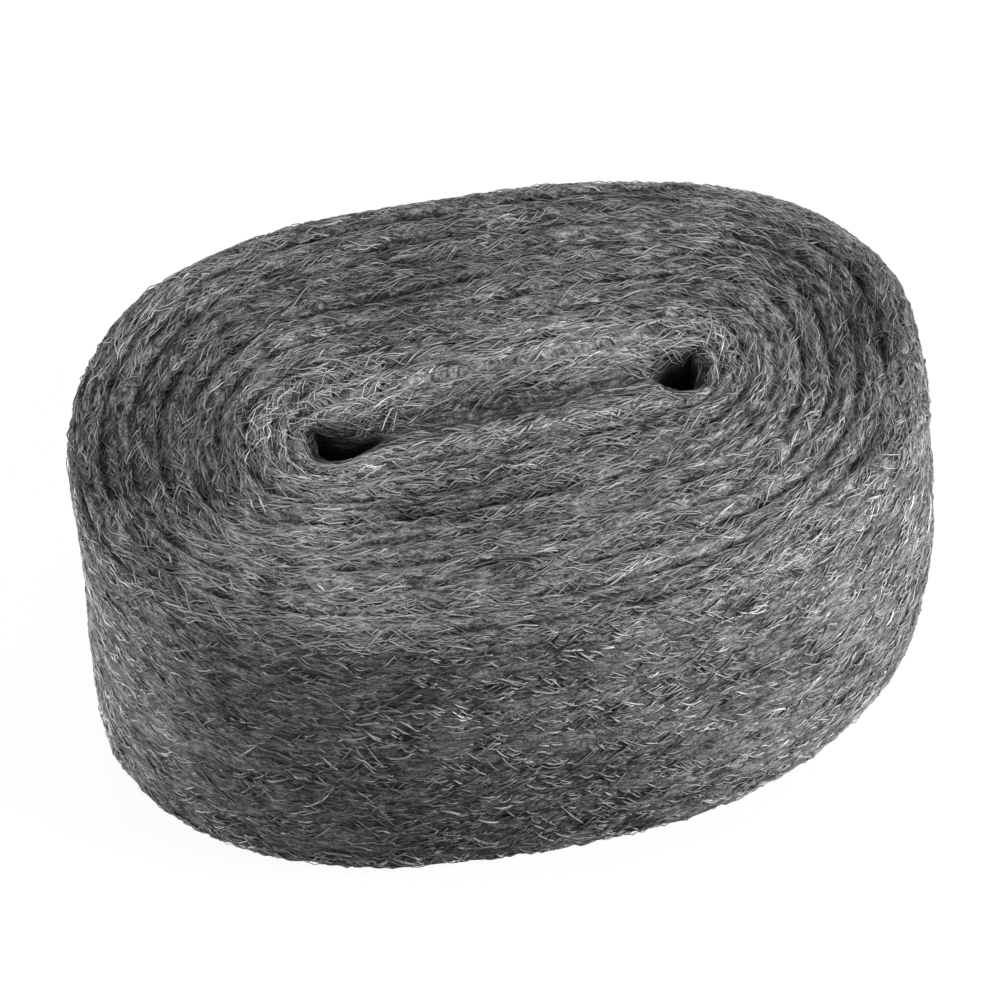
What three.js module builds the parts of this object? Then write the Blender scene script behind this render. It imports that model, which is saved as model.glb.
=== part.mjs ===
// A roll of steel wool, in millimetres, +Z up. One long ribbon of loose steel fibres is wound
// flat round two pins, and the pins are then drawn out. The roll stands on one end face, with
// the middle of its box on the Z axis and the line through both eyes along X.

import * as THREE from 'three';

// The roll as a whole
const length = 160;            // along X, over the outermost turn
const width = 113.6;           // along Y, over the outermost turn
const height = 66;             // along Z: the width of the ribbon
const squareness = 2.3;        // power of the outline: 2 is an ellipse, more is squarer
const lean = 0.176;            // how far the outline leans along X for each mm of Y
const slew = -0.097;           // how far the outline drops along Y for each mm of X
const topEdge = 5;             // mean radius of the upper edge
const topEdgeGrowth = 3;       // what the upper edge gains at the +X end and loses at the other
const baseEdge = 5;            // radius of the lower edge, which the table keeps even

// The turns of the ribbon, seen on the end faces
const turnThickness = 5.1;     // one layer of wool, measured on the long axis
const grooveDepth = 1.6;       // the valley between two turns
const landStart = 0.28;        // where a turn's flat crest starts, as a share of its thickness
const unevenness = 0.45;       // how far the crests of the upper face rise and fall
const longWaves = 3;           // rises and falls of a crest in one turn, with a finer set on them
const shortWaves = 7;
const waveDrift = 2;           // how far these waves move round from one turn to the next, radians
const freeEnd = 100;           // degrees round from +X to the ribbon's outer end, at the back
const feather = 0.33;          // the part of a turn in which the first groove gets its full depth

// The core: two eyes where the pins were, with a closed seam between them
const eyeSpacing = 64;         // between the middles of the two eyes
const coreShift = -2.2;        // the core lies this far off the middle along Y
const coreRadius = 9;          // from the middle of an eye to the first groove round it
const lipRadius = 7.5;         // from there to the crest of the innermost half turn
const eyeHalfWidth = 6.4;      // from the middle of an eye to its sides, across the seam
const leftHalfLength = 3.6;    // from the middle of an eye to its round outer side
const rightHalfLength = 4;
const leftTail = 9;            // from the middle of an eye to its tip, which points at the seam
const rightTail = 4.2;
const leftSharpness = 3;       // how late an eye narrows to its tip
const rightSharpness = 8;
const eyeDepth = 1.6;          // how far the rim of an eye lies below the end face
const seamDepth = 2.2;         // how far the seam lies below the end face
const foldPlace = 0.6;         // where the innermost half turn starts to fall steeply inward
const foldFall = 0.3;          // how much of its fall it has made by there
const eyeWaist = 0.7;          // size of an eye at mid height, as a share of its mouth

// How finely the curves are cut
const stepsPerTurn = 64;
const eyeSteps = 5;

const endReach = (length - eyeSpacing) / 2;
const coreLevel = coreRadius / endReach;
const spiralSteps = Math.round((1 - coreLevel) * endReach / turnThickness * stepsPerTurn);
const levelPerStep = (1 - coreLevel) / spiralSteps;
const firstColumn = Math.round(freeEnd / 360 * stepsPerTurn);

const mix = (a, b, t) => a + (b - a) * t;
const ease = (t) => THREE.MathUtils.smoothstep(t, 0, 1);
const power = (value, exponent) => Math.sign(value) * Math.abs(value) ** exponent;
const angleOf = (column) => 2 * Math.PI * column / stepsPerTurn;
const columnOf = (step) => (firstColumn + step) % stepsPerTurn;

// Half the size of the upright outline that, once leaned and slewed, has the overall length and
// width: the reach of a leaned superellipse along one axis is a power mean of its two parts.
const dual = squareness / (squareness - 1);
const partOfLength = 1 - Math.abs(lean * width / length) ** dual;
const partOfWidth = 1 - Math.abs(slew * length / width) ** dual;
const halfLength = length / 2 * partOfLength ** (1 / dual);
const halfWidth = width / 2 * partOfWidth ** (1 / dual);

// A point of the outer outline.
function outline(angle) {
  const x = halfLength * power(Math.cos(angle), 2 / squareness);
  const y = halfWidth * power(Math.sin(angle), 2 / squareness);
  return new THREE.Vector2(x + lean * y, y + slew * x);
}

// The point of the core that the same angle belongs to. It dwells at the middle of each eye, so
// the inner turns are round there, and runs quickly along the seam between them.
function spine(angle) {
  const dwell = Math.sin(Math.PI / 2 * Math.cos(angle));
  return new THREE.Vector2(eyeSpacing / 2 * Math.sin(Math.PI / 2 * dwell), coreShift);
}

// A point between the spine, at level 0, and the outline, at level 1.
const plan = (level, angle) => spine(angle).lerp(outline(angle), level);

// The two end faces differ only in their edge radius and in how even their crests are.
const upperFace = {
  edge: (angle) => topEdge + topEdgeGrowth * Math.cos(angle),
  swell: (angle, turn) => {
    const drift = waveDrift * turn;
    const waves = Math.sin(longWaves * angle + drift) + Math.sin(shortWaves * angle - drift);
    return unevenness * (2 - waves) / 4;
  },
  z: (depth) => height - depth,
};
const lowerFace = {
  edge: () => baseEdge,
  swell: () => 0,
  z: (depth) => depth,
};

// How far the rounded edge has fallen at a level: a quarter circle against the outer wall.
function edgeFall(face, level, angle) {
  const radius = face.edge(angle);
  const inward = (1 - level) * outline(angle).distanceTo(spine(angle));
  const short = Math.max(radius - inward, 0);
  return radius - Math.sqrt(radius ** 2 - short ** 2);
}

// The body is gathered as one list of points and one list of triangles.
const points = [];
const triangles = [];

function addPoint(xy, z) {
  points.push(xy.x, xy.y, z);
  return points.length / 3 - 1;
}

function addTriangle(a, b, c, flip) {
  if (a === b || b === c || c === a) return;
  if (flip) triangles.push(a, c, b);
  else triangles.push(a, b, c);
}

// Two rows side by side are joined column by column. The first row lies outside the second.
function joinRows(outer, inner, flip) {
  for (let k = 0; k + 1 < outer.length; k += 1) {
    addTriangle(outer[k], outer[k + 1], inner[k + 1], flip);
    addTriangle(outer[k], inner[k + 1], inner[k], flip);
  }
}

const closed = (row) => [...row, row[0]];
const columns = [...Array(stepsPerTurn).keys()];

// How far round from an eye's outer side its opening reaches, in columns: to where the spine has
// run the length of its tail.
function tailColumn(tail) {
  return columns.find((column) => spine(0).x - spine(angleOf(column)).x >= tail);
}

const halfTurn = stepsPerTurn / 2;
const rightEye = {
  middle: spine(0),
  halfLength: rightHalfLength,
  tail: -rightTail,
  sharpness: rightSharpness,
  reach: tailColumn(rightTail),
};
const leftEye = {
  middle: spine(Math.PI),
  halfLength: leftHalfLength,
  tail: leftTail,
  sharpness: leftSharpness,
  reach: tailColumn(leftTail),
};
const tipOf = (eye) => new THREE.Vector2(eye.middle.x + eye.tail, coreShift);

// Where the innermost half turn ends: on the rim of an eye, or on the seam between the tips.
// Share runs from 0 on an eye's outer side to 1 at its tip, and stays 1 along the seam.
function mouthPoint(column, lipPoint) {
  const fromRight = Math.min(column, stepsPerTurn - column);
  const fromLeft = halfTurn - fromRight;
  const eye = fromLeft < fromRight ? leftEye : rightEye;
  const share = Math.min(fromLeft, fromRight) / eye.reach;
  if (share < 1) {
    const size = new THREE.Vector2(eye.halfLength, eyeHalfWidth).divideScalar(lipRadius);
    const rim = lipPoint.clone().sub(eye.middle).multiply(size).add(eye.middle);
    return { xy: rim.lerp(tipOf(eye), share ** eye.sharpness), share };
  }
  const along = (fromRight - rightEye.reach) / (halfTurn - rightEye.reach - leftEye.reach);
  return { xy: tipOf(rightEye).lerp(tipOf(leftEye), along), share: 1 };
}

// One end face: the spiral of turns, the innermost half turn, and the rims of the eyes.
function endFace(face) {
  const flip = face === lowerFace;
  const rim = columns.map((column) => {
    const angle = angleOf(column);
    return addPoint(outline(angle), face.z(face.edge(angle)));
  });
  const core = columns.map((column) => {
    const angle = angleOf(column);
    return addPoint(plan(coreLevel, angle), face.z(grooveDepth));
  });

  // The groove starts on the rim at the free end and winds in to the core. Each turn of wool
  // lies between one lap of the groove and the next, and thins out to nothing at both ends.
  const groove = [rim[firstColumn]];
  for (let step = 1; step < spiralSteps; step += 1) {
    const angle = angleOf(columnOf(step));
    const level = 1 - levelPerStep * step;
    const sink = grooveDepth * ease(step / stepsPerTurn / feather);
    groove.push(addPoint(plan(level, angle), face.z(edgeFall(face, level, angle) + sink)));
  }
  groove.push(core[columnOf(spiralSteps)]);

  const lastStep = spiralSteps + stepsPerTurn;
  const rows = { outer: [], crestStart: [], crestEnd: [], inner: [] };
  for (let step = 0; step <= lastStep; step += 1) {
    const column = columnOf(step);
    const angle = angleOf(column);
    const onRim = step < stepsPerTurn;
    const atCore = step > spiralSteps;
    const outerLevel = onRim ? 1 : 1 - levelPerStep * (step - stepsPerTurn);
    const innerLevel = atCore ? coreLevel : 1 - levelPerStep * step;
    const outer = onRim ? rim[column] : groove[step - stepsPerTurn];
    const inner = atCore ? core[column] : groove[step];
    const thickness = Math.min(1, step / stepsPerTurn, (lastStep - step) / stepsPerTurn);
    const crest = (share) => {
      if (thickness === 0) return outer;
      const level = mix(outerLevel, innerLevel, share);
      const fall = edgeFall(face, level, angle) + grooveDepth * (1 - Math.sqrt(thickness));
      return addPoint(plan(level, angle), face.z(fall + face.swell(angle, step / stepsPerTurn)));
    };
    rows.outer.push(outer);
    rows.crestStart.push(crest(landStart));
    rows.crestEnd.push(crest(1 - landStart));
    rows.inner.push(inner);
  }
  joinRows(rows.outer, rows.crestStart, flip);
  joinRows(rows.crestStart, rows.crestEnd, flip);
  joinRows(rows.crestEnd, rows.inner, flip);

  // The innermost half turn has a rounded crest and falls to an eye or to the seam. Columns that
  // mirror each other share one point of the seam, which closes it.
  const lip = [];
  const fold = [];
  const mouth = [];
  for (const column of columns) {
    const lipPoint = plan(lipRadius / endReach, angleOf(column));
    const { xy, share } = mouthPoint(column, lipPoint);
    const depth = mix(eyeDepth, seamDepth, ease(share));
    const closedSeam = share === 1 && column > halfTurn;
    lip.push(addPoint(lipPoint, face.z(0)));
    fold.push(addPoint(lipPoint.clone().lerp(xy, foldPlace), face.z(depth * foldFall)));
    mouth.push(closedSeam ? mouth[stepsPerTurn - column] : addPoint(xy, face.z(depth)));
  }
  joinRows(closed(core), closed(lip), flip);
  joinRows(closed(lip), closed(fold), flip);
  joinRows(closed(fold), closed(mouth), flip);
  return { rim, mouth };
}

// The wall of one eye, from its mouth on the upper face through a waist to the one on the lower.
function eyeWall(eye, middleColumn, topMouth, baseMouth) {
  const ring = [];
  for (let k = -eye.reach; k < eye.reach; k += 1) {
    ring.push((middleColumn + k + stepsPerTurn) % stepsPerTurn);
  }
  let above = ring.map((column) => topMouth[column]);
  for (let step = 1; step <= eyeSteps; step += 1) {
    const share = step / eyeSteps;
    const size = 1 - (1 - eyeWaist) * Math.sin(Math.PI * share);
    const below = ring.map((column) => {
      if (step === eyeSteps) return baseMouth[column];
      const [x, y, topZ] = points.slice(3 * topMouth[column], 3 * topMouth[column] + 3);
      const baseZ = points[3 * baseMouth[column] + 2];
      const xy = eye.middle.clone().lerp(new THREE.Vector2(x, y), size);
      return addPoint(xy, mix(topZ, baseZ, share));
    });
    joinRows(closed(above), closed(below), false);
    above = below;
  }
}

const upper = endFace(upperFace);
const lower = endFace(lowerFace);
joinRows(closed(lower.rim), closed(upper.rim), false);
eyeWall(rightEye, 0, upper.mouth, lower.mouth);
eyeWall(leftEye, halfTurn, upper.mouth, lower.mouth);

const geometry = new THREE.BufferGeometry();
geometry.setAttribute('position', new THREE.Float32BufferAttribute(points, 3));
geometry.setIndex(triangles);

const steelWool = new THREE.MeshStandardMaterial({ color: 0x6c6c6e, roughness: 0.6, metalness: 0.8 });
const roll = new THREE.Mesh(geometry, steelWool);
roll.name = 'steel_wool_roll';

const object = new THREE.Group();
object.add(roll);

export default object;
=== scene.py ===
# A roll of steel wool, dressed with real fibres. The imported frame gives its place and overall
# size, and everything here is in metres, +Z up, with the roll standing on one end face.

import math

import bpy
import numpy as np
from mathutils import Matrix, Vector


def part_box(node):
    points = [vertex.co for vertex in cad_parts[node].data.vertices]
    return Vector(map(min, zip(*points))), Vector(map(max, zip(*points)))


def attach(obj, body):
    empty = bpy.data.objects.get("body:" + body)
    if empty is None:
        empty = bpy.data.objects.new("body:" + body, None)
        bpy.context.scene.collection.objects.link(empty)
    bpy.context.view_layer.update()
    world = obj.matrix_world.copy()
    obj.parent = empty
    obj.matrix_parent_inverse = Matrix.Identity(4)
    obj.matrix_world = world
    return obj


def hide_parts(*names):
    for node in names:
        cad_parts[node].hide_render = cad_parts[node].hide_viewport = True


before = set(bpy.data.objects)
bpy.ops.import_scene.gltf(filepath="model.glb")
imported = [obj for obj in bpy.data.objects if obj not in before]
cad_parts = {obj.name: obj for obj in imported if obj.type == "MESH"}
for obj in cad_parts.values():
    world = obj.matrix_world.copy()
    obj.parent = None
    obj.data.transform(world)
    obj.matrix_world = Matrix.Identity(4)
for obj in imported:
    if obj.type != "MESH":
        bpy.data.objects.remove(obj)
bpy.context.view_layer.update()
mm = 0.001

# The wound body: a ribbon of steel wool wound flat round two pins, which leave two eyes and a
# closed seam. It is packed firm enough to hold its form, with a valley between each two turns
# on the end faces. Its colour runs darker than that of the loose fibres, painted shade for the
# depth between them, so that everything that lies deep between the fibres looks nearly black.
low, high = (np.array(corner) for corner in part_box("steel_wool_roll"))
length, width, height = high - low
squareness = 2.3
lean = 0.176
slew = -0.097
back_fullness, right_fullness = 0.045, 0.03
right_back, right_back_spread = math.radians(22), math.radians(20)
right_bulge = 3.4 * mm
bulge_skew = 0.55
top_edge = 5 * mm
top_edge_growth = 3 * mm
base_edge = 5 * mm
turn_thickness = 5.1 * mm
groove_depth = 1.6 * mm
shallowest_groove = 0.45
free_end = math.radians(101.25)
eye_spacing = 64 * mm
core_shift = -2.2 * mm
core_radius = 9 * mm
lip_radius = 7.5 * mm
eye_half_width = 6.4 * mm
left_half_length, right_half_length = 3.6 * mm, 4 * mm
left_tail, right_tail = 9 * mm, 4.2 * mm
left_sharpness, right_sharpness = 3, 8
eye_depth = 1.6 * mm
seam_depth = 2.2 * mm
eye_waist = 0.7
far_lip_slack = 0.75

end_reach = (length - eye_spacing) / 2
core_level = core_radius / end_reach
turns = (1 - core_level) * end_reach / turn_thickness
dual = squareness / (squareness - 1)
half_length = length / 2 * (1 - abs(lean * width / length) ** dual) ** (1 / dual)
half_width = width / 2 * (1 - abs(slew * length / width) ** dual) ** (1 / dual)


def power(value, exponent):
    return np.sign(value) * np.abs(value) ** exponent


def ease(value, start=0.0, end=1.0):
    share = np.clip((value - start) / (end - start), 0, 1)
    return share * share * (3 - 2 * share)


def mix(a, b, share):
    return a + (b - a) * share


def outline(angle):
    x = half_length * power(np.cos(angle), 2 / squareness)
    y = half_width * power(np.sin(angle), 2 / squareness)
    from_right_back = (angle - right_back + np.pi) % (2 * np.pi) - np.pi
    full = 1 + back_fullness * np.maximum(np.sin(angle), 0) * np.sin(2 * angle) ** 2
    full = full + right_fullness * np.exp(-(from_right_back / right_back_spread) ** 2)
    return np.stack([x + lean * y, y + slew * x], -1) * full[..., None]


def spine(angle):
    dwell = np.sin(np.pi / 2 * np.cos(angle))
    x = eye_spacing / 2 * np.sin(np.pi / 2 * dwell)
    return np.stack([x, np.full_like(x, core_shift)], -1)


def reach_of(tail):
    """The angle round from an eye's outer side at which the spine has run the length of a tail."""
    dwell = 2 / math.pi * math.asin(1 - tail / (eye_spacing / 2))
    return math.acos(2 / math.pi * math.asin(dwell))


left_reach, right_reach = reach_of(left_tail), reach_of(right_tail)
left_tip, right_tip = left_tail - eye_spacing / 2, eye_spacing / 2 - right_tail


def mouth(angle):
    """Where the innermost half turn ends, on an eye's rim or on the seam, and how near its tip."""
    from_right = np.abs((angle + np.pi) % (2 * np.pi) - np.pi)
    from_left = np.pi - from_right
    left = from_left < from_right
    middle = np.stack([np.where(left, -1, 1) * eye_spacing / 2, np.full_like(angle, core_shift)], -1)
    tip = np.stack([np.where(left, left_tip, right_tip), np.full_like(angle, core_shift)], -1)
    share = np.where(left, from_left / left_reach, from_right / right_reach)
    lip = mix(spine(angle), outline(angle), lip_radius / end_reach)
    outward = np.where(left, left_half_length, right_half_length)
    slack = np.where(np.sin(angle) > 0, 1 - far_lip_slack * ease(share, 0.15, 0.8), 1)
    size = np.stack([outward, eye_half_width * slack], -1) / lip_radius
    size = size * (1 + 0.06 * np.sin(5 * angle + 1) + 0.05 * np.sin(11 * angle + 2))[..., None]
    towards_tip = np.clip(share, 0, 1) ** np.where(left, left_sharpness, right_sharpness)
    rim = mix(middle + (lip - middle) * size, tip, towards_tip[..., None])
    along = np.clip((from_right - right_reach) / (np.pi - right_reach - left_reach), 0, 1)
    seam = np.stack([mix(right_tip, left_tip, along), np.full_like(angle, core_shift)], -1)
    return np.where((share < 1)[..., None], rim, seam), np.clip(share, 0, 1)


# Stations along the roll's section, from the core on the underside round to the core on top.
BASE_FACE, BASE_EDGE, WALL, TOP_EDGE, TOP_FACE, TOP_CORE, SECTION_END = 1, 2, 3, 4, 5, 6, 7


def smooth_surface(angle, station):
    """The roll without its grooves: a point for an angle round it and a station of its section."""
    angle, station = np.broadcast_arrays(angle, station)
    out, core_line = outline(angle), spine(angle)
    reach = np.linalg.norm(out - core_line, axis=-1)
    flat = reach * (1 - core_level)
    edge = top_edge + top_edge_growth * np.cos(angle)
    turn_in = np.pi / 2 * np.clip(station - BASE_EDGE, 0, 1)
    turn_up = np.pi / 2 * np.clip(station - TOP_EDGE, 0, 1)
    swell = np.sin(np.pi * np.clip(station - WALL, 0, 1) ** bulge_skew)
    bulge = right_bulge * ease(np.cos(angle + 0.3), 0.1, 0.9) * swell
    inward = np.select(
        [station < BASE_EDGE, station < WALL, station < TOP_EDGE, station < TOP_FACE],
        [mix(flat, base_edge, np.clip(station - BASE_FACE, 0, 1)), base_edge * (1 - np.sin(turn_in)),
         -bulge, edge * (1 - np.cos(turn_up))],
        mix(edge, flat, np.clip(station - TOP_FACE, 0, 1)))
    z = np.select(
        [station < BASE_EDGE, station < WALL, station < TOP_EDGE, station < TOP_FACE],
        [0 * reach, base_edge * (1 - np.cos(turn_in)),
         mix(base_edge, height - edge, np.clip(station - WALL, 0, 1)),
         height - edge + edge * np.sin(turn_up)],
        height + 0 * reach)
    level = 1 - inward / reach
    xy = core_line + (out - core_line) * level[..., None]
    rim, share = mouth(angle)
    within = np.maximum(np.clip(station - TOP_CORE, 0, 1), np.clip(BASE_FACE - station, 0, 1))
    xy = mix(xy, rim, within[..., None])
    fall = mix(eye_depth, seam_depth, ease(share)) * within ** 2.5
    z = np.where(station > WALL, z - fall, z + fall)
    return np.concatenate([xy, z[..., None]], -1), level


def size_of(vectors):
    return np.linalg.norm(vectors, axis=-1)


class Place:
    """Where an angle and a station of the section lead, with the outward normal there, and the
    lengths that one radian round the roll and one station across it measure."""

    def __init__(self, angle, station):
        nudge = 1e-3
        self.angle, self.station = angle, station
        self.point, self.level = smooth_surface(angle, station)
        ahead = smooth_surface(angle + nudge, station)[0] - smooth_surface(angle - nudge, station)[0]
        above = np.clip(station + nudge, 0, SECTION_END)
        below = np.clip(station - nudge, 0, SECTION_END)
        across = smooth_surface(angle, above)[0] - smooth_surface(angle, below)[0]
        normal = np.cross(ahead, across)
        self.normal = normal / (size_of(normal)[..., None] + 1e-15)
        self.round = size_of(ahead) / (2 * nudge)
        self.across = size_of(across) / (above - below)


def turn_phase(angle, level):
    """0 in the groove between two turns, and 0.5 on a turn's crest."""
    wound = (angle - free_end) % (2 * np.pi) / (2 * np.pi)
    return ((1 - level) / (1 - core_level) * turns - wound) % 1


class Grain:
    """Smooth random relief in cells that run round the roll and close on themselves."""

    def __init__(self, seed, around, across):
        self.around, self.across = around, across
        self.lattice = np.random.default_rng(seed).uniform(-1, 1, (around, 512))

    def __call__(self, angle, station):
        u = (angle / (2 * np.pi) * self.around) % self.around
        v = station * self.across + 4
        column, row = np.floor(u).astype(int), np.floor(v).astype(int)
        a, b = ease(u - column), ease(v - row)
        near, far = column % self.around, (column + 1) % self.around
        lower = mix(self.lattice[near, row], self.lattice[far, row], a)
        upper = mix(self.lattice[near, row + 1], self.lattice[far, row + 1], a)
        return mix(lower, upper, b)


lumps = Grain(11, 26, 5)
wisps = Grain(12, 90, 26)
threads = Grain(13, 170, 64)
blotches = Grain(14, 17, 3)
breaks = Grain(15, 60, 16)


def groove(angle, station, level):
    valley = 1 - np.sqrt(np.abs(np.sin(np.pi * turn_phase(angle, level))))
    on_top = ease(station, TOP_EDGE + 0.35, TOP_FACE) * (station <= TOP_CORE)
    on_base = ease(-station, -BASE_EDGE - 0.4, -BASE_EDGE) * (station >= BASE_FACE)
    within = np.maximum(station - TOP_CORE, BASE_FACE - station)
    core_valley = (within > 0) * (1 - ease(within, 0, 0.35))
    pressed = mix(shallowest_groove, 1, ease(breaks(angle, station), -0.7, 0.4))
    return groove_depth * (valley * pressed * (on_top + on_base) + core_valley)


lump_height = 0.35 * mm
fibre_cover = 0.5 * mm
wisp_height, thread_height = 0.3 * mm, 0.25 * mm


def packed_relief(place):
    swell = lump_height * lumps(place.angle, place.station)
    return swell - fibre_cover - groove(place.angle, place.station, place.level)


def fine_relief(place):
    fine_wisps = wisp_height * wisps(place.angle, place.station)
    return fine_wisps + thread_height * threads(place.angle, place.station)


def out_of_groove_shade(place):
    """0 in the shade of a groove, where the wool lets little light in, and 1 on a crest. The wool's
    tone paints this shade in, and fewer fibres seat there. A turn also parts here and there along
    its middle, with painted shade in the parting."""
    on_face = (place.station > TOP_EDGE + 0.6) | (place.station < BASE_EDGE - 0.2)
    in_core = (place.station > TOP_CORE) | (place.station < BASE_FACE)
    phase = turn_phase(place.angle, place.level)
    whole = breaks(place.angle, place.station)
    groove_shade = (1 - ease(np.sin(np.pi * phase), 0, 0.4)) * ease(whole, -0.35, 0.4)
    parting_shade = 0.8 * (1 - ease(np.abs(np.cos(np.pi * phase)), 0, 0.35)) * ease(-whole, -0.15, 0.4)
    return 1 - (groove_shade + parting_shade) * on_face * ~in_core


# Broad patches of lighter or darker tone: the middle of each in millimetres, its radius, and how
# much lighter it is. On the end face they make the wool darker towards both ends, at the front,
# at the back and in a few smaller places, and paler near the eyes and behind the seam; the last
# four lie on the wall and are painted light and shade.
patches = [
    ((-12, -38, 66), 17, -0.07),
    ((-14, -21, 66), 12, -0.08),
    ((-72, 4, 66), 22, -0.15),
    ((70, 12, 66), 18, -0.14),
    ((-8, 34, 66), 22, -0.12),
    ((-20, 14, 66), 10, -0.08),
    ((17, 12, 66), 11, 0.1),
    ((-27, 5, 66), 6, 0.1),
    ((-44, -13, 66), 13, 0.07),
    ((24, 3, 66), 6, 0.1),
    ((-66, 20, 66), 14, -0.07),
    ((75, -2, 66), 12, -0.08),
    ((20, -5, 66), 5, -0.08),
    ((0, -5, 66), 6, -0.12),
    # The last four, on the wall, are painted light and shade: painted shade low on the front towards the
    # floor, a painted lighter band high on the front where light falls from above, a painted pool of
    # light on the right front and painted shade on the right end.
    ((-28, -50, 10), 30, -0.1),
    ((-45, -48, 56), 24, 0.08),
    ((38, -52, 36), 26, 0.1),
    ((80, -12, 40), 24, -0.17),
]


def wool_tone_light_and_shade(place):
    """How light the wool is at a place, from 0 to 1: blotches, wisps, broad patches, pale lips, and
    painted shade in the grooves, the partings and down into the eyes, with painted light and shade
    in a few patches on the wall.
    """
    tone = 0.5 + 0.08 * blotches(place.angle, place.station) + 0.12 * wisps(place.angle, place.station)
    for middle, radius, lighter in patches:
        apart = size_of(place.point - np.array(middle) * mm)
        tone = tone + lighter * np.exp(-(apart / (radius * mm)) ** 2)
    within = np.maximum(place.station - TOP_CORE, BASE_FACE - place.station)
    lip = ease(within, -0.15, 0.05) * (1 - ease(within, 0.35, 0.75))
    # Painted shade: darker down the funnel into each eye and less so along the closed seam, and darker in
    # the grooves and partings between the turns.
    rim = ease(within, 0.45, 0.85) * mix(1, 0.25, ease(mouth(place.angle)[1], 0.88, 1.0))
    return tone + 0.04 * lip - 0.5 * rim - 0.28 * (1 - out_of_groove_shade(place))


def mesh_piece(name, points, faces, maps):
    """A smooth-shaded piece from its points and from arrays of faces with equally many corners."""
    mesh = bpy.data.meshes.new(name)
    corners = np.concatenate([block.ravel() for block in faces]).astype(np.int32)
    sizes = np.concatenate([np.full(len(block), block.shape[1]) for block in faces])
    starts = np.concatenate([[0], np.cumsum(sizes)[:-1]]).astype(np.int32)
    mesh.vertices.add(len(points))
    mesh.vertices.foreach_set("co", points.astype(np.float32).ravel())
    mesh.loops.add(len(corners))
    mesh.loops.foreach_set("vertex_index", corners)
    mesh.polygons.add(len(sizes))
    mesh.polygons.foreach_set("loop_start", starts)
    mesh.polygons.foreach_set("use_smooth", np.ones(len(sizes), bool))
    for map_name, uv in maps.items():
        mesh.uv_layers.new(name=map_name).data.foreach_set("uv", uv.astype(np.float32).ravel())
    mesh.update(calc_edges=True)
    piece = bpy.data.objects.new(name, mesh)
    bpy.context.scene.collection.objects.link(piece)
    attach(piece, "root")
    return piece


body_columns = 352
above_floor = 0.05 * mm
section_parts = [
    (0, BASE_FACE, 8), (BASE_FACE, BASE_EDGE, 44), (BASE_EDGE, WALL, 8), (WALL, TOP_EDGE, 40),
    (TOP_EDGE, TOP_FACE, 12), (TOP_FACE, TOP_CORE, 112)]
section_rows = [np.linspace(first, last, count, endpoint=False) for first, last, count in section_parts]
section_rows = np.concatenate(section_rows + [np.linspace(TOP_CORE, SECTION_END, 16)])
angles = 2 * np.pi * np.arange(body_columns) / body_columns
grid_station, grid_angle = np.meshgrid(section_rows, angles, indexing="ij")
place = Place(grid_angle, grid_station)
free = 1 - np.maximum(ease(grid_station, TOP_CORE + 0.6, SECTION_END), ease(-grid_station, -0.4, 0))
sunk = (packed_relief(place) + fine_relief(place)) * free
body_tone_light_and_shade = wool_tone_light_and_shade(place)
across_lengths = np.concatenate([[0], np.cumsum(size_of(np.diff(place.point, axis=0)).mean(1))])
body_across = np.broadcast_to(across_lengths[:, None], body_tone_light_and_shade.shape)
body_map = np.stack([body_tone_light_and_shade, body_across], -1).reshape(-1, 2)
body_points = place.point + place.normal * sunk[..., None]
body_points[..., 2] = np.maximum(body_points[..., 2], above_floor)
row_count = len(section_rows)
index = np.arange(row_count * body_columns).reshape(row_count, body_columns)
for row in (0, row_count - 1):
    share = mouth(angles)[1]
    for column in range(body_columns // 2 + 1, body_columns):
        if share[column] >= 1:
            index[row, column] = index[row, body_columns - column]
next_column = np.roll(index, -1, axis=1)
quads = np.stack([index[:-1], next_column[:-1], next_column[1:], index[1:]], -1).reshape(-1, 4)
body_points = body_points.reshape(-1, 3)

eye_rows = 14
faces = [quads]
eye_points = []
eye_maps = []
for middle_column, reach in ((0, right_reach), (body_columns // 2, left_reach)):
    steps = math.ceil(reach / (2 * math.pi) * body_columns)
    ring = (middle_column + np.arange(-steps, steps)) % body_columns
    top_ring, base_ring = index[-1, ring], index[0, ring]
    middle = np.array([math.copysign(eye_spacing / 2, math.cos(angles[middle_column])), core_shift])
    rows = [top_ring]
    for step in range(1, eye_rows):
        share = step / eye_rows
        size = 1 - (1 - eye_waist) * math.sin(math.pi * share)
        xy = middle + (body_points[top_ring, :2] - middle) * size
        z = mix(body_points[top_ring, 2], body_points[base_ring, 2], share)
        rows.append(len(body_points) + sum(map(len, eye_points)) + np.arange(len(ring)))
        eye_points.append(np.column_stack([xy, z]))
        down = across_lengths[-1] + height * share + 0 * z
        # The eyes' inner walls take the lowest tone, so that they render mostly near black: painted shade
        # inside the holes.
        eye_maps.append(np.column_stack([np.zeros(len(ring)), down]))
    rows = np.array(rows + [base_ring])
    after = np.roll(rows, -1, axis=1)
    faces.append(np.stack([rows[:-1], after[:-1], after[1:], rows[1:]], -1).reshape(-1, 4))
all_points = np.concatenate([body_points] + eye_points)
all_maps = np.concatenate([body_map] + eye_maps)
corners = np.concatenate(faces).ravel()
kept, faces = np.unique(corners, return_inverse=True)
faces = [faces.reshape(-1, 4)]
wound_body = mesh_piece("wound_body", all_points[kept], faces, {"winding": all_maps[corners]})
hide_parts("steel_wool_roll")


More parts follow.
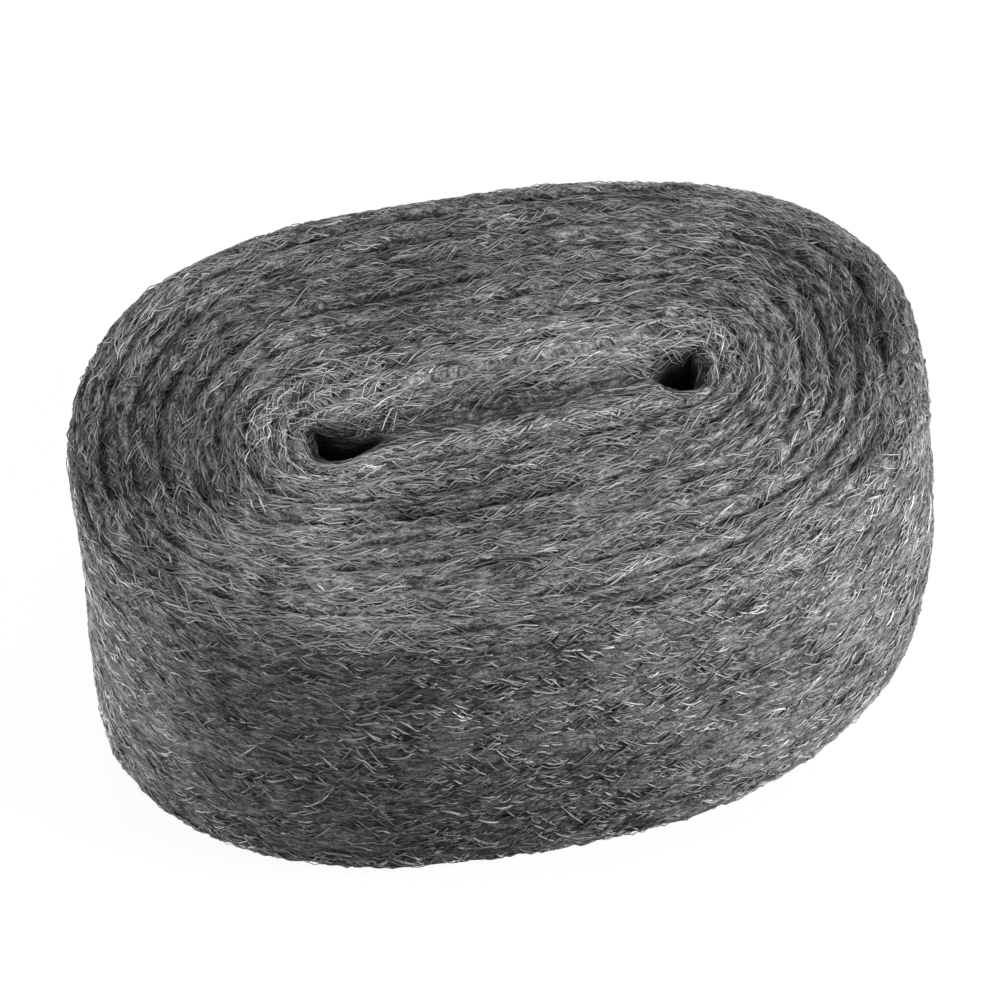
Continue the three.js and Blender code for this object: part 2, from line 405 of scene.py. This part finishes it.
class Field:
    """An output of a material's node. Sums and products of fields add Math nodes."""

    def __init__(self, tree, socket=None):
        self.tree, self.socket = tree, socket

    def node(self, kind, settings=None, inputs=None, output=0):
        made = self.tree.nodes.new("ShaderNode" + kind)
        for name, value in (settings or {}).items():
            if name == "stops":
                made.color_ramp.elements.remove(made.color_ramp.elements[0])
                for k, (place_on_ramp, colour) in enumerate(value):
                    ramp = made.color_ramp.elements
                    stop = ramp[0] if k == 0 else ramp.new(place_on_ramp)
                    stop.position, stop.color = place_on_ramp, (*colour, 1)
            else:
                setattr(made, name, value)
        for name, value in (inputs or {}).items():
            if isinstance(value, Field):
                self.tree.links.new(value.socket, made.inputs[name])
            else:
                made.inputs[name].default_value = value
        return Field(self.tree, made.outputs[output]) if made.outputs else None

    def maths(self, operation, *values):
        return self.node("Math", {"operation": operation}, dict(enumerate(values)))

    def __add__(self, other):
        return self.maths("ADD", self, other)

    def __sub__(self, other):
        return self.maths("SUBTRACT", self, other)

    def __rsub__(self, other):
        return self.maths("SUBTRACT", other, self)

    def __mul__(self, other):
        return self.maths("MULTIPLY", self, other)

    __radd__, __rmul__ = __add__, __mul__


def steel_material(name, colour, roughness, metallic, specular, normal=None):
    """A Principled steel. Colour and normal are made by functions of the empty field."""
    material = bpy.data.materials.new(name)
    material.use_nodes = True
    tree = material.node_tree
    shader = tree.nodes["Principled BSDF"]
    shader.inputs["Metallic"].default_value = metallic
    shader.inputs["Roughness"].default_value = roughness
    shader.inputs["Specular IOR Level"].default_value = specular
    tree.links.new(colour(Field(tree)).socket, shader.inputs["Base Color"])
    if normal:
        tree.links.new(normal(Field(tree)).socket, shader.inputs["Normal"])
    return material


def grey(value):
    return (value, value, value * 1.03)


def winding_streaks(field, cell, detail, drawn_out=3.5):
    """Noise in cells that are drawn out along the turns."""
    place_in_wool = field.node("TexCoord", output="Object")
    across = field.node("SeparateXYZ", {}, {"Vector": field.node("UVMap", {"uv_map": "winding"})}, "Y")
    parts = [field.node("SeparateXYZ", {}, {"Vector": place_in_wool}, axis) for axis in "XY"]
    stretched = field.node("CombineXYZ", {}, {
        "X": parts[0] * (1 / drawn_out), "Y": parts[1] * (1 / drawn_out), "Z": across})
    return field.node("TexNoise", {}, {
        "Vector": stretched, "Scale": 1 / cell, "Detail": detail, "Roughness": 0.65, "Distortion": 0.8})


def packed_colour(field):
    tone = field.node("SeparateXYZ", {}, {"Vector": field.node("UVMap", {"uv_map": "winding"})}, "X")
    streaks = winding_streaks(field, 0.9 * mm, 3.0)
    specks = winding_streaks(field, 0.4 * mm, 2.0, 1.6)
    lightness = tone + (streaks - 0.5) * 1.7 + (specks - 0.5) * 1.2
    # The ramp runs darker than the fibres' ramp: painted shade for the wool that lies deep under them,
    # nearly black at the lowest tone.
    return field.node("ValToRGB", {"stops": [
        (0.0, grey(0.004)), (0.3, grey(0.03)), (0.55, grey(0.1)), (0.8, grey(0.21)), (1.0, grey(0.3))]},
        {"Fac": lightness})


def packed_normal(field):
    return field.node("Bump", {}, {
        "Height": winding_streaks(field, 0.6 * mm, 4.0, 2.5), "Strength": 1.0, "Distance": 0.6 * mm})


wound_body.data.materials.append(
    steel_material("packed_steel_wool", packed_colour, 0.7, 0.2, 0.12, packed_normal))

# The fibres on the end faces: shaved steel threads, the edges of the ribbon's layers. They are
# crimped and lie in small wisps that run round with the turns, with both ends in the wool.
FIBRE_SIDES = 3


def moved_across(angle, station, distance):
    """Stations that lie a distance across the roll's section from where fibres have their middle."""
    zones = np.arange(SECTION_END)
    lengths = Place(angle[:, None], zones + 0.5).across
    edges = np.cumsum(lengths, axis=1)
    zone = np.minimum(station.astype(int), SECTION_END - 1)
    rows = np.arange(len(angle))
    run = edges[rows, zone] - (zone + 1 - station) * lengths[rows, zone]
    run = np.clip(run[:, None] + distance, 0.3 * mm, edges[:, -1:] - 0.3 * mm)
    zone = (run[:, :, None] > edges[:, None, :-1]).sum(-1)
    return zone + 1 - (edges[rows[:, None], zone] - run) / lengths[rows[:, None], zone]


def fibre_paths(angle, station, span, steps, slope, sway, waves, phase, lift, arch):
    """Points of fibres laid on the wool, with the normals there: one row for each fibre."""
    along = np.linspace(0, 1, steps + 1)
    angles_on = [angle - span / 2 / Place(angle, station).round]
    for _ in range(steps):
        angles_on.append(angles_on[-1] + span / steps / Place(angles_on[-1], station).round)
    angles_on = np.stack(angles_on, -1)
    drift = span[:, None] * slope[:, None] * (along - 0.5)
    drift = drift + sway[:, None] * np.sin(2 * np.pi * waves[:, None] * along + phase[:, None])
    place = Place(angles_on, moved_across(angle, station, drift))
    rise = lift[:, None] + arch[:, None] * (np.sin(np.pi * along) - 0.5)
    rise = rise + 0.25 * sway[:, None] * np.cos(4 * np.pi * waves[:, None] * along + 2 * phase[:, None])
    paths = place.point + place.normal * (packed_relief(place) + rise)[..., None]
    return paths, place.normal


def fibre_piece(name, paths, normals, radius, tone):
    """Closed three-sided threads along the paths, thinned at both tips."""
    count, stations = paths.shape[:2]
    along = np.linspace(0, 1, stations)
    forward = np.gradient(paths, axis=1)
    forward /= size_of(forward)[..., None] + 1e-15
    side = np.cross(forward, normals)
    side /= size_of(side)[..., None] + 1e-15
    up = np.cross(side, forward)
    thin = radius[:, None] * (0.35 + 0.65 * np.sqrt(np.clip(np.sin(np.pi * along), 0, 1)))
    turn = 2 * np.pi * np.arange(FIBRE_SIDES) / FIBRE_SIDES
    ring = np.cos(turn)[:, None] * up[:, :, None] + np.sin(turn)[:, None] * side[:, :, None]
    points = paths[:, :, None] + thin[..., None, None] * ring
    index = np.arange(count * stations * FIBRE_SIDES).reshape(count, stations, FIBRE_SIDES)
    after = np.roll(index, -1, axis=2)
    sides = np.stack([index[:, :-1], index[:, 1:], after[:, 1:], after[:, :-1]], -1).reshape(-1, 4)
    caps = np.concatenate([index[:, 0], index[:, -1, ::-1]])
    width_on_map = 0.0015
    u = np.clip(tone, 0.01, 0.99)[:, None, None]
    side_u = u + width_on_map * np.array([-1, -1, 1, 1])
    v = np.broadcast_to(along[None, :, None, None], (count, stations, FIBRE_SIDES, 1))
    side_v = np.concatenate([v[:, :-1], v[:, 1:], v[:, 1:], v[:, :-1]], -1)
    side_uv = np.stack([np.broadcast_to(side_u[:, None], side_v.shape), side_v], -1).reshape(-1, 2)
    cap_u = u[:, 0] + width_on_map * np.array([-1, 1, 0])
    cap_v = np.array([0.0, 0.0, 0.004])
    near_v, far_v = (np.broadcast_to(cap_v + end, cap_u.shape) for end in (0, 0.99))
    near_uv = np.stack([cap_u, near_v], -1).reshape(-1, 2)
    far_uv = np.stack([cap_u, far_v], -1).reshape(-1, 2)
    uv = np.concatenate([side_uv, near_uv, far_uv])
    return mesh_piece(name, points.reshape(-1, 3), [sides, caps], {"tone": uv, "OFBake": uv})


def fibre_colour(field):
    tone = field.node("SeparateXYZ", {}, {"Vector": field.node("UVMap", {"uv_map": "tone"})}, "X")
    return field.node("ValToRGB", {"stops": [
        (0.0, grey(0.02)), (0.3, grey(0.08)), (0.6, grey(0.22)), (1.0, grey(0.5))]}, {"Fac": tone})


fibre_steel = steel_material("steel_fibres", fibre_colour, 0.55, 0.4, 0.4)


def wool_fibres(name, seed, count, stations, spans, lifts, radii, steep, crimp, wisp_of=3, paler=0.0,
                sector=(0, 360)):
    """Crimped fibres in wisps of a few that lie together and share their bends and tone."""
    rng = np.random.default_rng(seed)
    steps = 4
    tried = 4 * count
    wisp_angle = rng.uniform(*np.radians(sector), tried)
    wisp_station = rng.uniform(*stations, tried)
    tried_place = Place(wisp_angle, wisp_station)
    room = tried_place.round * tried_place.across
    seated = rng.uniform(0, 1, tried) < out_of_groove_shade(tried_place) * room / room.max()
    wisp_angle = wisp_angle[seated][:count // wisp_of]
    wisp_station = wisp_station[seated][:count // wisp_of]
    fibres = len(wisp_angle) * wisp_of

    def shared(draw, own=0.0):
        return np.repeat(draw, wisp_of) + own * rng.normal(0, 1, fibres)

    wisps_here = len(wisp_angle)
    wisp_place = Place(wisp_angle, wisp_station)
    span = np.minimum(rng.uniform(*spans, fibres), 1.4 * np.repeat(wisp_place.round, wisp_of))
    angle = shared(wisp_angle) + rng.normal(0, 2 * mm, fibres) / np.repeat(wisp_place.round, wisp_of)
    station = shared(wisp_station)
    station = station + rng.normal(0, 0.35 * mm, fibres) / np.repeat(wisp_place.across, wisp_of)
    station = np.clip(station, *stations)
    slope = shared(rng.normal(0, steep, wisps_here), 0.5 * steep)
    sway = shared(rng.uniform(*crimp, wisps_here), 0.06 * mm)
    waves = shared(rng.uniform(0.5, 1.1, wisps_here), 0.1)
    sway = np.clip(sway, 0, 0.1 * span / waves)
    phase = shared(rng.uniform(0, 2 * np.pi, wisps_here), 0.5)
    lift = shared(rng.uniform(*lifts, wisps_here), 0.08 * mm)
    arch = rng.uniform(0.1, 0.45, fibres) * mm
    radius = rng.uniform(*radii, fibres)
    # The fibres take the wool's tone where they lie, with its painted shade and painted light, plus a
    # tone for each wisp and each fibre.
    tone = shared(rng.normal(0, 0.09, wisps_here), 0.06) + wool_tone_light_and_shade(Place(angle, station)) + paler
    paths, normals = fibre_paths(angle, station, span, steps, slope, sway, waves, phase, lift, arch)
    paths[..., 2] = np.maximum(paths[..., 2], radius[:, None])
    piece = fibre_piece(name, paths, normals, radius, tone)
    piece.data.materials.append(fibre_steel)
    return piece


coarse, fine = (0.15 * mm, 0.28 * mm), (0.08 * mm, 0.16 * mm)
gentle, tight = (0.1 * mm, 0.45 * mm), (0.2 * mm, 0.6 * mm)
top_band = (TOP_EDGE + 0.3, SECTION_END - 0.2)
wool_fibres("top_fibres_low", 21, 6900, top_band, spans=(2.5 * mm, 7 * mm), lifts=(-0.3 * mm, 0.0 * mm),
            radii=coarse, steep=0.25, crimp=gentle)
wool_fibres("top_fibres_high", 22, 6000, top_band, spans=(2.5 * mm, 7 * mm), lifts=(-0.1 * mm, 0.35 * mm),
            radii=fine, steep=0.34, crimp=tight)

# The fibres of the core: loose steel ends over the closed seam, and pale ones that cross the far
# lip of each eye, where the pins were drawn out.
core_band = (TOP_CORE - 0.15, SECTION_END - 0.04)
wool_fibres("core_fibres", 23, 1000, core_band, spans=(3 * mm, 7 * mm), lifts=(-0.2 * mm, 0.4 * mm),
            radii=coarse, steep=0.35, crimp=gentle)
left_lip = (TOP_CORE - 0.2, SECTION_END - 0.04)
wool_fibres("left_lip_fibres", 24, 260, left_lip, spans=(3 * mm, 6 * mm), lifts=(0, 1.1 * mm),
            radii=fine, steep=0.6, crimp=tight, wisp_of=2, paler=0.2, sector=(105, 180))
right_lip = (TOP_CORE - 0.1, SECTION_END - 0.04)
wool_fibres("right_lip_fibres", 25, 120, right_lip, spans=(3 * mm, 6 * mm), lifts=(0, 0.9 * mm),
            radii=fine, steep=0.6, crimp=tight, wisp_of=2, paler=0.14, sector=(-5, 60))

# The fibres on the outer wall: the flat side of the outermost layer of the steel ribbon, matted
# by the winding into short, crimped threads that cross each other.
wall_band = (BASE_EDGE + 0.1, TOP_EDGE + 0.7)
wool_fibres("wall_fibres_low", 31, 7400, wall_band, spans=(2 * mm, 6 * mm), lifts=(-0.3 * mm, 0.1 * mm),
            radii=coarse, steep=0.4, crimp=tight, wisp_of=2)
wool_fibres("wall_fibres_high", 32, 6900, wall_band, spans=(2 * mm, 5 * mm), lifts=(-0.1 * mm, 0.2 * mm),
            radii=fine, steep=0.5, crimp=tight, wisp_of=2)

# The fibres on the underside: the other edges of the ribbon's layers, steel threads that are
# pressed flat by the weight of the roll.
base_band = (0.3, BASE_EDGE + 0.5)
wool_fibres("base_fibres", 41, 2900, base_band, spans=(4 * mm, 9 * mm), lifts=(-0.4 * mm, -0.1 * mm),
            radii=coarse, steep=0.25, crimp=gentle)

# The surroundings: a plain pale floor, a white room, soft lamps and the camera of the photograph.
# The floor and the room are white where they are seen, and dim where they light the roll.


def shown_white(field):
    """1 for the rays that show the background, and 0 for those that light the wool."""
    seen = field.node("LightPath", output="Is Camera Ray")
    glossy = field.node("LightPath", output="Is Glossy Ray")
    through = field.node("LightPath", output="Is Transmission Ray")
    return seen.maths("MAXIMUM", seen, seen.maths("MAXIMUM", glossy, through))


floor_half = 3.0
bpy.ops.mesh.primitive_plane_add(size=2 * floor_half, location=(0, 0, 0))
floor = bpy.context.object
floor.name = "floor"
material = bpy.data.materials.new("pale_floor")
material.use_nodes = True
tree = material.node_tree
tree.nodes.clear()
field = Field(tree)
shown = shown_white(field)
matt = field.node("BsdfDiffuse", {}, {"Color": 0.15 + shown * 0.75})
white = field.node("Emission", {}, {"Color": (1, 1, 1, 1), "Strength": 1.0})
surface = field.node("MixShader", {}, {0: shown * 0.94, 1: matt, 2: white})
field.node("OutputMaterial", {}, {"Surface": surface})
floor.data.materials.append(material)

world = bpy.data.worlds.new("white_room")
bpy.context.scene.world = world
world.use_nodes = True
tree = world.node_tree
tree.nodes.clear()
field = Field(tree)
shown = shown_white(field)
room = field.node("Background", {}, {"Color": (1, 1, 1, 1), "Strength": 0.16 + shown * 0.81})
field.node("OutputWorld", {}, {"Surface": room})


def soft_lamp(name, place, size, power, aim=(0, 0, 0.03)):
    light = bpy.data.lights.new(name, "AREA")
    light.shape = "RECTANGLE"
    light.size, light.size_y = size
    light.energy = power
    lamp = bpy.data.objects.new(name, light)
    lamp.location = place
    lamp.rotation_euler = (Vector(aim) - Vector(place)).to_track_quat("-Z", "Y").to_euler()
    bpy.context.scene.collection.objects.link(lamp)


soft_lamp("right_softbox", (0.66, -0.37, 0.28), (0.3, 0.3), 15)
soft_lamp("left_softbox", (-0.78, 0.16, 0.14), (0.3, 0.2), 8.5)
soft_lamp("overhead_softbox", (0.0, 0.15, 0.9), (0.5, 0.3), 5.6)

view_azimuth = math.radians(-17.45)
view_elevation = math.radians(47.2)
view_distance = 0.698
focal_pixels = 3728
picture_pixels = 1000
off_centre = (3.1, 17.2)
back = Vector((math.sin(view_azimuth) * math.cos(view_elevation),
               -math.cos(view_azimuth) * math.cos(view_elevation), math.sin(view_elevation)))
right = Vector((math.cos(view_azimuth), math.sin(view_azimuth), 0))
up = back.cross(right)
per_pixel = view_distance / focal_pixels
aim = Vector((0, 0, height / 2)) + per_pixel * (off_centre[1] * up - off_centre[0] * right)
camera_data = bpy.data.cameras.new("camera")
camera_data.sensor_width = 36
camera_data.lens = camera_data.sensor_width * focal_pixels / picture_pixels
camera_data.clip_start = 0.01
camera = bpy.data.objects.new("camera", camera_data)
camera.location = aim + view_distance * back
camera.rotation_euler = back.to_track_quat("Z", "Y").to_euler()
bpy.context.scene.collection.objects.link(camera)
bpy.context.scene.camera = camera
bpy.context.scene.view_settings.view_transform = "Standard"
